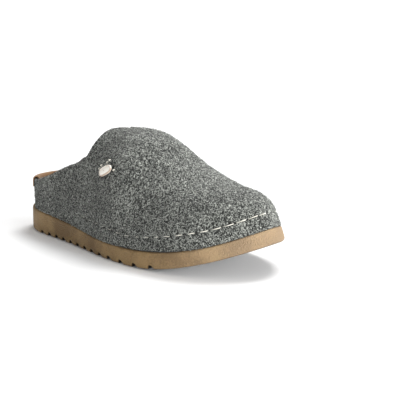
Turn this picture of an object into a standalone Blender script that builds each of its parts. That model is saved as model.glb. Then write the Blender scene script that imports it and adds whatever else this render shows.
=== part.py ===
"""Felt clog slipper, right foot: rubber sole, one-piece felt upper, footbed, heel lining and a plain badge.

Metres, +Z up, toe at +X, inner (medial) side at +Y. The ground is Z = 0 and the origin is under the middle
of the sole's box. A place along the shoe is a share of the sole's length, 0 at the heel and 1 at the toe,
and a place round the shoe is a turn in radians: 0 at the heel, pi at the toe, negative on the outer side.
"""

import math

import bmesh
import bpy
from mathutils import Vector

# Sole
SOLE_LENGTH = 0.268
BALL_WIDTH = 0.105
HEEL_THICKNESS = 0.0229
TOE_SPRING = 0.0248
SPRING_START = 0.60
TOE_FLARE = 0.0026
FLARE_START = 0.84
BOTTOM_ROUNDING = 0.0028
TOP_ROUNDING = 0.002
SIDE_BELT = 0.65
SOLE_STATIONS = 24

# Tread: grooves straight across, like a saw with a steep rear wall
FIRST_GROOVE = 0.138
GROOVE_DEPTH = 0.0041
GROOVE_MOUTH = 0.0052
GROOVE_FLOOR = 0.0014
GROOVE_REAR_SLOPE = 0.0004
GROOVE_ROUNDING = 0.55

# Felt upper
INSTEP_HEIGHT = 0.0874
FELT_WALL = 0.0032
FELT_INSET = 0.0015
HEEL_INSET = 0.0035
HEEL_INSET_END = 0.10
HEEL_LEAN = 0.0020
HEEL_LEAN_END = 0.16
THROAT = 0.43
HEEL_POLE = 0.17
TOE_POLE = 0.87
REAR_STATIONS = 27
FRONT_STATIONS = 23
RIB_ROWS = 11

# Footbed, heel lining and badge
FOOTBED_HEIGHT = 0.0130
FOOTBED_SHOULDER = 0.012
FOOTBED_CLEARANCE = 0.0005
FOOTBED_STATIONS = 24
LINING_LEATHER = 0.0014
LINING_FOLD = 0.0075
LINING_END = 0.20
LINING_STEP = 0.0025
LINING_ROWS = 4
OUTER_FOLD_END = 0.065
INNER_FOLD_END = 0.022
LINING_FOLD_STATIONS = 16
LINING_END_STATIONS = 7
BADGE_LENGTH = 0.0150
BADGE_WIDTH = 0.0098
BADGE_THICKNESS = 0.0014
BADGE_EDGE = 0.0008
BADGE_SQUARENESS = 2.7
BADGE_SIDES = 32
BADGE_RINGS = 3
BADGE_PLACE = 0.486
BADGE_HEIGHT = 0.0581
BADGE_TILT = 27.0

CLEARANCE = 0.0003

# Sole outline: share of length, outer edge and inner edge as shares of the ball width
OUTLINE = [
    (0.000, 0.000, 0.000),
    (0.018, -0.165, 0.165),
    (0.060, -0.270, 0.265),
    (0.120, -0.330, 0.325),
    (0.200, -0.358, 0.345),
    (0.300, -0.395, 0.330),
    (0.400, -0.447, 0.315),
    (0.500, -0.502, 0.335),
    (0.600, -0.530, 0.400),
    (0.700, -0.530, 0.460),
    (0.780, -0.500, 0.470),
    (0.860, -0.415, 0.447),
    (0.930, -0.270, 0.375),
    (0.982, -0.090, 0.245),
    (1.000, 0.080, 0.080),
]

# Sole side: share of length, share of the heel thickness
SOLE_SIDE = [
    (0.00, 1.000),
    (0.10, 0.935),
    (0.20, 0.868),
    (0.30, 0.788),
    (0.38, 0.702),
    (0.46, 0.642),
    (0.56, 0.612),
    (0.68, 0.625),
    (0.80, 0.594),
    (0.90, 0.570),
    (1.00, 0.610),
]

# Tread pitches from the first groove on: how many, share of length
TREAD_STEPS = [(7, 0.0434), (1, 0.047), (1, 0.049), (1, 0.057), (1, 0.060), (1, 0.065)]

# Crest of the upper: share of length, height over the sole as a share of the instep height,
# sideways place as a share of the ball width, squareness of the arch over it
CREST = [
    (0.00, 0.960, 0.000, 2.60),
    (0.15, 1.054, 0.000, 2.55),
    (0.30, 1.055, 0.000, 2.52),
    (0.38, 1.046, 0.010, 2.52),
    (0.43, 1.024, 0.018, 2.55),
    (0.53, 1.023, 0.035, 2.60),
    (0.62, 0.941, 0.053, 1.84),
    (0.72, 0.731, 0.066, 1.87),
    (0.82, 0.531, 0.073, 2.25),
    (0.90, 0.415, 0.077, 2.42),
    (1.00, 0.238, 0.080, 2.68),
]

# Collar: share of length, height over the sole as a share of the instep height
COLLAR = [
    (0.000, 0.272),
    (0.070, 0.306),
    (0.145, 0.383),
    (0.200, 0.464),
    (0.240, 0.527),
    (0.280, 0.590),
    (0.320, 0.645),
    (0.350, 0.713),
    (0.370, 0.762),
    (0.385, 0.895),
    (0.400, 0.999),
    (0.415, 1.020),
    (0.425, 1.023),
    (0.430, 1.024),
]

# Footbed's edge, inward from its rim: share of the shoulder's width, share of the drop to the bed
SHOULDER = [(0.15, 0.02), (0.55, 0.62), (1.0, 1.0)]

# Footbed: share of length, bed height, outer rim and inner rim as shares of the footbed height
FOOTBED = [
    (0.00, 0.48, 1.00, 1.00),
    (0.18, 0.42, 0.98, 1.00),
    (0.38, 0.62, 0.88, 1.10),
    (0.52, 0.60, 0.74, 0.98),
    (0.70, 0.50, 0.58, 0.62),
    (1.00, 0.44, 0.46, 0.46),
]


def smooth_table(rows, column, place):
    """Value of a table's column at a place, on a smooth curve through its rows."""
    places = [row[0] for row in rows]
    values = [row[column] for row in rows]
    if place <= places[0]:
        return values[0]
    if place >= places[-1]:
        return values[-1]

    def slope(index):
        before, after = max(index - 1, 0), min(index + 1, len(rows) - 1)
        return (values[after] - values[before]) / (places[after] - places[before])

    low = max(index for index in range(len(rows) - 1) if places[index] <= place)
    span = places[low + 1] - places[low]
    t = (place - places[low]) / span
    start = (2 * t**3 - 3 * t**2 + 1) * values[low] + (t**3 - 2 * t**2 + t) * span * slope(low)
    end = (3 * t**2 - 2 * t**3) * values[low + 1] + (t**3 - t**2) * span * slope(low + 1)
    return start + end


def fade(value):
    """0 below 0, 1 above 1 and a soft step between."""
    value = min(max(value, 0.0), 1.0)
    return value * value * (3 - 2 * value)


def share_of(turn):
    return (1 - math.cos(turn)) / 2


def turn_of(share):
    return math.acos(1 - 2 * share)


def along(share):
    return share * SOLE_LENGTH


def share_at(x):
    return x / SOLE_LENGTH


# The outline is read against the turn, so that its two ends come out round
OUTLINE_TURNS = [(turn_of(share), outer, inner) for share, outer, inner in OUTLINE]


def outline(turn):
    """Point of the sole's top edge, in plan."""
    turn = (turn + math.pi) % (2 * math.pi) - math.pi
    side = 1 if turn < 0 else 2
    return Vector((along(share_of(turn)), BALL_WIDTH * smooth_table(OUTLINE_TURNS, side, abs(turn)), 0))


def outward(turn):
    """Level unit vector out of the outline. It runs clockwise, seen from above, as the turn grows."""
    step = 0.004
    run = outline(turn + step) - outline(turn - step)
    return Vector((-run.y, run.x, 0)).normalized()


def sole_bottom(share):
    lift = max(0.0, (share - SPRING_START) / (1 - SPRING_START))
    return TOE_SPRING * lift**2


def sole_top(share):
    return sole_bottom(share) + HEEL_THICKNESS * smooth_table(SOLE_SIDE, 1, share)


def toe_flare(turn):
    return TOE_FLARE * fade((share_of(turn) - FLARE_START) / (1 - FLARE_START))


def crest(share):
    """Point on the crest of the upper, which stops short of the heel and the toe."""
    share = min(max(share, HEEL_POLE), TOE_POLE)
    return Vector((along(share), BALL_WIDTH * smooth_table(CREST, 2, share), ceiling(share)))


def ceiling(share):
    return sole_top(share) + CLEARANCE + INSTEP_HEIGHT * smooth_table(CREST, 1, share)


def rib_foot(turn):
    """Where a rib of the felt stands on the sole."""
    share = share_of(turn)
    inset = FELT_INSET + HEEL_INSET * (1 - fade(share / HEEL_INSET_END))
    foot = outline(turn) - outward(turn) * inset
    foot.z = sole_top(share_at(foot.x)) + CLEARANCE
    return foot


def rib_point(turn, climb):
    """Point on the felt's outer face: climb is 0 on the sole and 1 on the crest."""
    share = share_of(turn)
    foot, top = rib_foot(turn), crest(share)
    power = 2 / smooth_table(CREST, 3, share)
    inward = 1 - max(math.cos(climb * math.pi / 2), 0.0) ** power
    upward = math.sin(climb * math.pi / 2) ** power
    point = foot.lerp(top, inward)
    point.z = foot.z + (ceiling(share_at(point.x)) - foot.z) * upward
    lean = HEEL_LEAN * (1 - fade(share / HEEL_LEAN_END)) * min(1.0, upward / smooth_table(COLLAR, 1, 0))
    return point + outward(turn) * lean


def collar_height(share):
    return sole_top(share) + CLEARANCE + INSTEP_HEIGHT * smooth_table(COLLAR, 1, share)


def climb_to(turn, height):
    """Climb at which a rib reaches a height, found by halving."""
    low, high = 0.0, 1.0
    for _ in range(40):
        middle = (low + high) / 2
        if rib_point(turn, middle).z < height:
            low = middle
        else:
            high = middle
    return low


def collar_climb(turn):
    share = share_of(turn)
    return 1.0 if share >= THROAT else climb_to(turn, collar_height(share))


def crest_normal(share):
    step = 0.01
    share = min(max(share, HEEL_POLE), TOE_POLE)
    run = crest(min(share + step, TOE_POLE)) - crest(share - step)
    return Vector((-run.z, 0, run.x)).normalized()


def rib_normal(turn, climb):
    if climb > 0.999:
        return crest_normal(share_of(turn))
    step_turn, step_climb = 0.004, 0.002
    run = rib_point(turn + step_turn, climb) - rib_point(turn - step_turn, climb)
    rise = rib_point(turn, climb + step_climb) - rib_point(turn, max(climb - step_climb, 0))
    return rise.cross(run).normalized()


def felt_point(turn, climb, depth):
    """Point at a depth below the felt's outer face. Level with the sole, its foot follows the sole's top."""
    point = rib_point(turn, climb) - rib_normal(turn, climb) * depth
    if climb == 0:
        point.z = sole_top(share_at(point.x)) + CLEARANCE
    return point


def box_middle():
    """Middle of the sole's box, in plan, which is where the origin goes."""
    edge = [outline(turn) + outward(turn) * toe_flare(turn) for turn in spread(-math.pi, math.pi, 720)]
    return Vector(
        (
            (min(p.x for p in edge) + max(p.x for p in edge)) / 2,
            (min(p.y for p in edge) + max(p.y for p in edge)) / 2,
            0,
        )
    )


def spread(start, end, count):
    return [start + (end - start) * index / count for index in range(count + 1)]


def both_sides(turns):
    """Turns once round the shoe, from those of one side between the heel and the toe."""
    return [0.0] + turns + [math.pi] + [-turn for turn in reversed(turns)]


def quad(mesh, corners):
    """A face on the corners that differ."""
    different = [corner for index, corner in enumerate(corners) if corner not in corners[:index]]
    if len(different) > 2:
        mesh.faces.new(different)


def skin(mesh, rows, closed):
    """Faces between rows of vertices; closed joins the last row to the first."""
    last = len(rows) if closed else len(rows) - 1
    for index in range(last):
        here, there = rows[index], rows[(index + 1) % len(rows)]
        for low in range(len(here) - 1):
            quad(mesh, [here[low], there[low], there[low + 1], here[low + 1]])


def plate(mesh, ring):
    """Strips straight across a ring whose two sides have the same stations."""
    count = len(ring)
    for index in range(count // 2):
        quad(mesh, [ring[index], ring[index + 1], ring[-index - 1], ring[(-index) % count]])


def finish(name, mesh, material, middle, sharp_angle):
    bmesh.ops.remove_doubles(mesh, verts=mesh.verts, dist=1e-6)
    bmesh.ops.recalc_face_normals(mesh, faces=mesh.faces)
    bmesh.ops.translate(mesh, verts=mesh.verts, vec=-middle)
    data = bpy.data.meshes.new(name)
    mesh.to_mesh(data)
    mesh.free()
    data.shade_smooth()
    data.set_sharp_from_angle(angle=math.radians(sharp_angle))
    data.materials.append(material)
    obj = bpy.data.objects.new(name, data)
    bpy.context.scene.collection.objects.link(obj)
    return obj


def principled(name, color, roughness):
    material = bpy.data.materials.new(name)
    material.use_nodes = True
    shader = material.node_tree.nodes["Principled BSDF"]
    shader.inputs["Base Color"].default_value = (*color, 1)
    shader.inputs["Roughness"].default_value = roughness
    shader.inputs["Metallic"].default_value = 0.0
    material.diffuse_color = (*color, 1)
    return material


def groove_turns():
    """Four stations for each groove, with how far each one lies up its wall."""
    stations = []
    centre = along(FIRST_GROOVE)
    steps = [0.0] + [along(pitch) for count, pitch in TREAD_STEPS for _ in range(count)]
    for step in steps:
        centre += step
        rear = centre - GROOVE_MOUTH / 2
        floor = rear + GROOVE_REAR_SLOPE
        for x, rise in ((rear, 0), (floor, 1), (floor + GROOVE_FLOOR, 1), (rear + GROOVE_MOUTH, 0)):
            stations.append((turn_of(share_at(x)), rise))
    return stations


def sole_stations():
    """(turn, groove rise) along one side: the grooves, and plain stations where there is room."""
    grooves = groove_turns()
    spacing = math.pi / SOLE_STATIONS
    first, last = grooves[0][0], grooves[-1][0]
    rear = spread(0, first, max(2, round(first / spacing)))[1:-1]
    front = spread(last, math.pi, max(2, round((math.pi - last) / spacing)))[1:-1]
    return [(turn, 0) for turn in rear] + grooves + [(turn, 0) for turn in front]


def make_outsole(middle):
    stations = sole_stations()
    turns = both_sides([turn for turn, _ in stations])
    rises = [0] + [rise for _, rise in stations] + [0] + [rise for _, rise in reversed(stations)]
    mesh = bmesh.new()
    rows = []
    for turn, rise in zip(turns, rises):
        normal, edge, flare = outward(turn), outline(turn), toe_flare(turn)
        row = []
        for angle in spread(0, math.pi / 2, 3):
            point = edge + normal * (flare - BOTTOM_ROUNDING * (1 - math.sin(angle)))
            rounding = BOTTOM_ROUNDING * (1 - math.cos(angle)) * (GROOVE_ROUNDING if rise else 1)
            point.z = sole_bottom(share_at(point.x)) + GROOVE_DEPTH * rise + rounding
            row.append(point)
        side = edge + normal * flare * (1 - SIDE_BELT)
        low, high = sole_bottom(share_at(side.x)), sole_top(share_at(side.x))
        side.z = low + (high - low) * SIDE_BELT
        row.append(side)
        for angle in spread(0, math.pi / 2, 2):
            point = edge - normal * TOP_ROUNDING * (1 - math.cos(angle))
            point.z = sole_top(share_at(point.x)) - TOP_ROUNDING * (1 - math.sin(angle))
            row.append(point)
        rows.append([mesh.verts.new(point) for point in row])
    skin(mesh, rows, closed=True)
    plate(mesh, [row[0] for row in rows])
    plate(mesh, [row[-1] for row in rows])
    return finish("outsole", mesh, principled("tan_rubber", (0.27, 0.16, 0.08), 0.7), middle, 40)


def felt_turns():
    """Turns of one side: closer together toward the throat, where the collar swings across."""
    throat = turn_of(THROAT)
    rear = [throat * (0.3 * t + 0.7 * math.sin(t * math.pi / 2)) for t in spread(0, 1, REAR_STATIONS)]
    front = spread(throat, math.pi, FRONT_STATIONS)
    return rear[1:] + front[1:-1]


def make_upper(middle):
    mesh = bmesh.new()
    walls = []
    for turn in both_sides(felt_turns()):
        climbs = spread(0, collar_climb(turn), RIB_ROWS)
        outer = [mesh.verts.new(felt_point(turn, climb, 0)) for climb in climbs]
        inner = [mesh.verts.new(felt_point(turn, climb, FELT_WALL)) for climb in climbs]
        walls.append((outer, inner, share_of(turn) > THROAT - 1e-6))
    count = len(walls)
    for index in range(count):
        outer, inner, closed_here = walls[index]
        next_outer, next_inner, closed_next = walls[(index + 1) % count]
        skin(mesh, [outer, next_outer], closed=False)
        skin(mesh, [next_inner, inner], closed=False)
        quad(mesh, [next_outer[0], outer[0], inner[0], next_inner[0]])
        if not (closed_here and closed_next):
            quad(mesh, [outer[-1], next_outer[-1], next_inner[-1], inner[-1]])
    return finish("upper", mesh, principled("grey_felt", (0.12, 0.125, 0.12), 0.95), middle, 60)


def footbed_height(share, column):
    return sole_top(share) + CLEARANCE + FOOTBED_HEIGHT * smooth_table(FOOTBED, column, share)


def footbed_rim(turn):
    """Point at the footbed's rim, a clearance inside the felt."""
    depth = FELT_WALL + FOOTBED_CLEARANCE
    rim = footbed_height(share_of(turn), 2 if turn < 0 else 3)
    return felt_point(turn, climb_to(turn, rim), depth)


def make_footbed(middle):
    mesh = bmesh.new()
    rows = []
    for turn in both_sides(spread(0, math.pi, FOOTBED_STATIONS)[1:-1]):
        foot, rim = felt_point(turn, 0, FELT_WALL + FOOTBED_CLEARANCE), footbed_rim(turn)
        normal = outward(turn)
        row = [foot, rim]
        for inset, sink in SHOULDER:
            point = rim - normal * FOOTBED_SHOULDER * inset
            bed = footbed_height(share_at(point.x), 1)
            row.append(Vector((point.x, point.y, rim.z + (bed - rim.z) * sink)))
        rows.append([mesh.verts.new(point) for point in row])
    skin(mesh, rows, closed=True)
    plate(mesh, [row[0] for row in rows])
    plate(mesh, [row[-1] for row in rows])
    return finish("footbed", mesh, principled("tan_suede", (0.33, 0.2, 0.11), 0.9), middle, 40)


def lining_section(turn, folded):
    """Both faces of the heel lining as (depth, height), up inside the felt and, where folded, on over its rim."""
    share = share_of(turn)
    rim = collar_height(share)
    half = LINING_LEATHER / 2
    low = footbed_height(share, 3) + 2 * CLEARANCE
    bend = FELT_WALL / 2 + CLEARANCE + half
    stop = rim - (0 if folded else LINING_STEP)
    centre = [(FELT_WALL / 2 + bend, height, 1.0, 0.0) for height in spread(low, stop, LINING_ROWS)]
    if folded:
        for angle in spread(0, math.pi, 6)[1:]:
            side, lift = math.cos(angle), math.sin(angle)
            centre.append((FELT_WALL / 2 + bend * side, rim + bend * lift, side, lift))
        for drop in spread(0, LINING_FOLD, 2)[1:]:
            centre.append((FELT_WALL / 2 - bend, rim - drop, -1.0, 0.0))
    front = [(depth + half * side, height + half * lift) for depth, height, side, lift in centre]
    back = [(depth - half * side, height - half * lift) for depth, height, side, lift in centre]
    return front, back


def lining_point(turn, depth, height):
    """A level depth inside the felt's face, at a height that may pass its rim."""
    climb = min(climb_to(turn, height), collar_climb(turn))
    face = rib_point(turn, climb)
    point = face - outward(turn) * depth
    point.z = height
    return point


def make_heel_lining(middle):
    mesh = bmesh.new()
    end, outer, inner = turn_of(LINING_END), turn_of(OUTER_FOLD_END), turn_of(INNER_FOLD_END)
    turns = spread(-end, -outer, LINING_END_STATIONS)[:-1] + spread(-outer, inner, LINING_FOLD_STATIONS)
    turns += spread(inner, end, LINING_END_STATIONS)[1:]
    strips = []
    for turn in turns:
        folded = -outer - 1e-6 < turn < inner + 1e-6
        faces = []
        for face in lining_section(turn, folded):
            faces.append([mesh.verts.new(lining_point(turn, depth, height)) for depth, height in face])
        strips.append((folded, *faces))
    for (folded, front, back), (next_folded, next_front, next_back) in zip(strips, strips[1:]):
        rows = len(front) if folded and next_folded else LINING_ROWS + 1
        skin(mesh, [front[:rows], next_front[:rows]], closed=False)
        skin(mesh, [next_back[:rows], back[:rows]], closed=False)
        quad(mesh, [next_front[0], front[0], back[0], next_back[0]])
        quad(mesh, [front[rows - 1], next_front[rows - 1], next_back[rows - 1], back[rows - 1]])
        if folded != next_folded:
            ends = (front, back) if folded else (next_front, next_back)
            skin(mesh, [side[LINING_ROWS:] for side in ends], closed=False)
    for folded, front, back in (strips[0], strips[-1]):
        skin(mesh, [front, back], closed=False)
    return finish("heel_lining", mesh, principled("tan_leather", (0.42, 0.22, 0.1), 0.8), middle, 50)


def face_near(point, turn, climb):
    """Turn and climb of the felt's face nearest to a point, stepping from a place near it."""
    step = 0.001
    for _ in range(5):
        face = rib_point(turn, climb)
        run = (rib_point(turn + step, climb) - face) / step
        rise = (rib_point(turn, climb + step) - face) / step
        off = point - face
        area = run.dot(run) * rise.dot(rise) - run.dot(rise) ** 2
        turn += (rise.dot(rise) * off.dot(run) - run.dot(rise) * off.dot(rise)) / area
        climb += (run.dot(run) * off.dot(rise) - run.dot(rise) * off.dot(run)) / area
    return turn, climb


def make_badge(middle):
    """A blunt oval with a rounded edge, bent to lie on the felt."""
    turn = -turn_of(BADGE_PLACE)
    climb = climb_to(turn, sole_top(BADGE_PLACE) + BADGE_HEIGHT)
    place, normal = rib_point(turn, climb), rib_normal(turn, climb)
    mesh = bmesh.new()
    bmesh.ops.create_circle(mesh, cap_ends=True, segments=BADGE_SIDES, radius=1)
    for vert in mesh.verts:
        reach = abs(vert.co.x) ** BADGE_SQUARENESS + abs(vert.co.y) ** BADGE_SQUARENESS
        vert.co /= reach ** (1 / BADGE_SQUARENESS)
    bmesh.ops.scale(mesh, vec=(BADGE_LENGTH / 2, BADGE_WIDTH / 2, 1), verts=mesh.verts)
    base = mesh.faces[:]
    made = bmesh.ops.extrude_face_region(mesh, geom=base)["geom"]
    top = [item for item in made if isinstance(item, bmesh.types.BMVert)]
    bmesh.ops.translate(mesh, vec=(0, 0, BADGE_THICKNESS), verts=top)
    bmesh.ops.recalc_face_normals(mesh, faces=mesh.faces)
    crown = [edge for edge in mesh.edges if all(vert in top for vert in edge.verts)]
    bmesh.ops.bevel(
        mesh,
        geom=crown,
        offset=BADGE_EDGE,
        segments=3,
        profile=0.5,
        affect="EDGES",
        material=-1,
    )
    caps = [face for face in mesh.faces if len(face.verts) == BADGE_SIDES]
    for _ in range(BADGE_RINGS):
        bmesh.ops.inset_individual(mesh, faces=caps, thickness=BADGE_WIDTH / 2 / (BADGE_RINGS + 1))
    level = Vector((0, 0, 1)).cross(normal).normalized()
    tilted = level * math.cos(math.radians(BADGE_TILT)) + normal.cross(level) * math.sin(math.radians(BADGE_TILT))
    for vert in mesh.verts:
        x, y, z = vert.co
        under = face_near(place + tilted * x + normal.cross(tilted) * y, turn, climb)
        vert.co = rib_point(*under) + rib_normal(*under) * (z + CLEARANCE)
    return finish("badge", mesh, principled("cream_enamel", (0.72, 0.68, 0.58), 0.45), middle, 40)


def main():
    for obj in list(bpy.data.objects):
        bpy.data.objects.remove(obj, do_unlink=True)
    middle = box_middle()
    make_outsole(middle)
    make_upper(middle)
    make_footbed(middle)
    make_heel_lining(middle)
    make_badge(middle)


main()
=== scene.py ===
"""Looks of the felt clog slipper, right foot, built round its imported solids.

Metres, +Z up, toe at +X, inner side at +Y, ground at Z = 0, in the same frame as the solids. A place
along the shoe is a share of the sole's length, 0 at the heel and 1 at the toe. A place round the shoe is a
turn in radians: 0 at the heel, pi at the toe, negative on the outer side. The form's numbers are those of
the solids, but the badge is a little slimmer and the grooves are a little wider and shallower.
"""

import math

import bmesh
import bpy
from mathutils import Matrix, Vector, noise


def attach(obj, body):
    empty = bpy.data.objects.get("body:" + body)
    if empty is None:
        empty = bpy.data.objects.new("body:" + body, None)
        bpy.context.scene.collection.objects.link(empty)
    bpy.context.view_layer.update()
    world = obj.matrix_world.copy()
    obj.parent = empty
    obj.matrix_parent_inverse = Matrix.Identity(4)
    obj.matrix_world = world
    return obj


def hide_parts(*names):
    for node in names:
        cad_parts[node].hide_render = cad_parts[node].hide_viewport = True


# Form of the sole
SOLE_LENGTH = 0.268
BALL_WIDTH = 0.105
HEEL_THICKNESS = 0.0229
TOE_SPRING = 0.0248
SPRING_START = 0.60
TOE_FLARE = 0.0026
FLARE_START = 0.84
BOTTOM_ROUNDING = 0.0028
TOP_ROUNDING = 0.002
FIRST_GROOVE = 0.138
GROOVE_DEPTH = 0.0031
GROOVE_MOUTH = 0.0060

# Form of the felt
INSTEP_HEIGHT = 0.0874
FELT_WALL = 0.0032
FELT_INSET = 0.0015
HEEL_INSET = 0.0035
HEEL_INSET_END = 0.10
HEEL_LEAN = 0.0020
HEEL_LEAN_END = 0.16
THROAT = 0.43
HEEL_POLE = 0.17
TOE_POLE = 0.87
CLEARANCE = 0.0003

# Form of the badge, whose tilt is in degrees
BADGE_LENGTH = 0.0154
BADGE_WIDTH = 0.0080
BADGE_SQUARENESS = 2.7
BADGE_PLACE = 0.486
BADGE_HEIGHT = 0.0590
BADGE_TILT = 30.0

# The solids' own frame starts at the heel; this brings it to the middle of the sole's box
MIDDLE = Vector((0.1353, -0.003306, 0.0))

# Thread of the stitched line. Its ends dive into the felt, its middle can stand proud, and it is pulled
# right in at the tip of the toe
STITCH_START = 0.345
STITCH_OFFSET = 0.0035
STITCH_PITCH = 0.0106
STITCH_LENGTH = 0.0086
THREAD_RADIUS = 0.00038
THREAD_DIVE = 0.0009
THREAD_PROUD = 0.0007
TIP_TUCK = 0.0026

# Needle holes between the stitches, and how wide the thread draws in the felt
HOLE_LENGTH = 0.0013
HOLE_WIDTH = 0.0009
HOLE_DEPTH = 0.0012
HOLE_CELL = 0.01
SEAM_WIDTH = 0.0016

# Rounding of the felt's cut rim
RIM_ROUNDING = 0.0013

# Thread ends round the badge
KNOT_RADIUS = 0.0004
KNOT_LENGTH = 0.0020
KNOT_LIFT = 0.0022
KNOT_DIVE = 0.0008

# Studio: half the card's side, the room's even light, and name, strength, angle and place of each lamp
CARD_SIZE = 150.0
ROOM_LIGHT = 0.52
LAMPS = [
    ("toe_light", 5.2, 34.0, (0.86, 0.0, 0.11)),
    ("far_light", 2.2, 50.0, (0.78, 0.58, 0.12)),
    ("high_light", 2.0, 24.0, (-0.06, 0.44, 0.90)),
]

# Loose wool: name, colour, ends per square metre, their length and thickness, seed of their scatter
NAPS = [
    ("light", "#adb0a9", 300000, 0.0024, 0.00026, 3),
    ("dark", "#242622", 260000, 0.0022, 0.00028, 11),
]

# Fineness of the new pieces
FELT_TURNS = 520
EDGE_ROWS = 28
BODY_ROWS = 44
SOLE_TURNS = 230
PLATE_ROWS = 8

# Sole outline: share of length, outer edge and inner edge as shares of the ball width
OUTLINE = [
    (0.000, 0.000, 0.000),
    (0.018, -0.165, 0.165),
    (0.060, -0.270, 0.265),
    (0.120, -0.330, 0.325),
    (0.200, -0.358, 0.345),
    (0.300, -0.395, 0.330),
    (0.400, -0.447, 0.315),
    (0.500, -0.502, 0.335),
    (0.600, -0.530, 0.400),
    (0.700, -0.530, 0.460),
    (0.780, -0.500, 0.470),
    (0.860, -0.415, 0.447),
    (0.930, -0.270, 0.375),
    (0.982, -0.090, 0.245),
    (1.000, 0.080, 0.080),
]

# Sole side: share of length, share of the heel thickness
SOLE_SIDE = [
    (0.00, 1.000),
    (0.10, 0.935),
    (0.20, 0.868),
    (0.30, 0.788),
    (0.38, 0.702),
    (0.46, 0.642),
    (0.56, 0.612),
    (0.68, 0.625),
    (0.80, 0.594),
    (0.90, 0.570),
    (1.00, 0.610),
]

# Tread pitches from the first groove on: how many, share of length
TREAD_STEPS = [(7, 0.0434), (1, 0.047), (1, 0.049), (1, 0.057), (1, 0.060), (1, 0.065)]

# Groove from its rear lip on: share of the mouth, share of the depth
GROOVE_SHAPE = [
    (-0.12, 0.00),
    (-0.05, 0.05),
    (0.00, 0.22),
    (0.04, 0.62),
    (0.10, 0.90),
    (0.20, 1.02),
    (0.34, 1.04),
    (0.50, 0.97),
    (0.66, 0.76),
    (0.80, 0.46),
    (0.91, 0.19),
    (1.00, 0.05),
    (1.12, 0.00),
]

# Crest of the upper: share of length, height over the sole as a share of the instep height, sideways
# place as a share of the ball width, squareness of the arch over it
CREST = [
    (0.00, 0.960, 0.000, 2.60),
    (0.15, 1.054, 0.000, 2.55),
    (0.30, 1.055, 0.000, 2.52),
    (0.38, 1.046, 0.010, 2.52),
    (0.43, 1.024, 0.018, 2.55),
    (0.53, 1.023, 0.035, 2.60),
    (0.62, 0.941, 0.053, 1.84),
    (0.72, 0.731, 0.066, 1.87),
    (0.82, 0.531, 0.073, 2.25),
    (0.90, 0.415, 0.077, 2.42),
    (1.00, 0.238, 0.080, 2.68),
]

# Collar: share of length, height over the sole as a share of the instep height
COLLAR = [
    (0.000, 0.272),
    (0.070, 0.306),
    (0.145, 0.383),
    (0.200, 0.464),
    (0.240, 0.527),
    (0.280, 0.590),
    (0.320, 0.645),
    (0.350, 0.713),
    (0.370, 0.762),
    (0.385, 0.895),
    (0.400, 0.999),
    (0.415, 1.020),
    (0.425, 1.023),
    (0.430, 1.024),
]

# Stitched line: share of length, height over the sole in metres, how far the thread stands proud
STITCH_LINE = [
    (0.30, 0.0125, 0.00),
    (0.50, 0.0130, 0.00),
    (0.61, 0.0110, 0.08),
    (0.69, 0.0118, 0.18),
    (0.76, 0.0130, 0.36),
    (0.84, 0.0135, 0.78),
    (0.90, 0.0133, 1.00),
    (0.94, 0.0135, 1.00),
    (0.98, 0.0141, 1.00),
]

# Soft creases and ridges: depth (a ridge is positive), width, then the points along it
CREASES = [
    (-0.0010, 0.0070, [(-0.030, -0.034, 0.078), (-0.021, -0.038, 0.064), (-0.010, -0.043, 0.048)]),
    (0.0007, 0.0080, [(-0.012, -0.034, 0.080), (-0.002, -0.040, 0.062), (0.012, -0.045, 0.044)]),
    (-0.0006, 0.0060, [(0.052, -0.043, 0.046), (0.060, -0.036, 0.056), (0.067, -0.026, 0.064)]),
    (0.0006, 0.0040, [(0.060, -0.043, 0.045), (0.066, -0.034, 0.056), (0.072, -0.026, 0.062)]),
    (-0.0005, 0.0065, [(0.092, -0.030, 0.050), (0.101, -0.014, 0.058), (0.104, 0.006, 0.060)]),
    (-0.0008, 0.0070, [(-0.028, 0.034, 0.078), (-0.019, 0.036, 0.062), (-0.008, 0.037, 0.047)]),
    (-0.0005, 0.0060, [(0.056, 0.046, 0.046), (0.064, 0.038, 0.056), (0.070, 0.028, 0.062)]),
    (-0.0014, 0.0060, [(-0.029, 0.016, 0.102), (-0.024, 0.012, 0.1045), (-0.018, 0.010, 0.1045)]),
]


def smooth_table(rows, column, place):
    """Value of a table's column at a place, on a smooth curve through its rows."""
    if place <= rows[0][0]:
        return rows[0][column]
    if place >= rows[-1][0]:
        return rows[-1][column]
    low = 0
    while rows[low + 1][0] < place:
        low += 1

    def slope(index):
        before, after = rows[max(index - 1, 0)], rows[min(index + 1, len(rows) - 1)]
        return (after[column] - before[column]) / (after[0] - before[0])

    span = rows[low + 1][0] - rows[low][0]
    t = (place - rows[low][0]) / span
    start = (2 * t**3 - 3 * t**2 + 1) * rows[low][column] + (t**3 - 2 * t**2 + t) * span * slope(low)
    end = (3 * t**2 - 2 * t**3) * rows[low + 1][column] + (t**3 - t**2) * span * slope(low + 1)
    return start + end


def fade(value):
    """0 below 0, 1 above 1 and a soft step between."""
    value = min(max(value, 0.0), 1.0)
    return value * value * (3 - 2 * value)


def bell(value, middle, width):
    """1 at the middle, falling softly to 0 on both sides."""
    return math.exp(-(((value - middle) / width) ** 2))


def share_of(turn):
    return (1 - math.cos(turn)) / 2


def turn_of(share):
    return math.acos(1 - 2 * share)


def spread(start, end, count):
    return [start + (end - start) * index / count for index in range(count + 1)]


OUTLINE_TURNS = [(turn_of(share), outer, inner) for share, outer, inner in OUTLINE]


def outline(turn):
    """Point of the sole's top edge, in plan."""
    turn = (turn + math.pi) % (2 * math.pi) - math.pi
    side = 1 if turn < 0 else 2
    y = BALL_WIDTH * smooth_table(OUTLINE_TURNS, side, abs(turn))
    return Vector((share_of(turn) * SOLE_LENGTH, y, 0))


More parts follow.
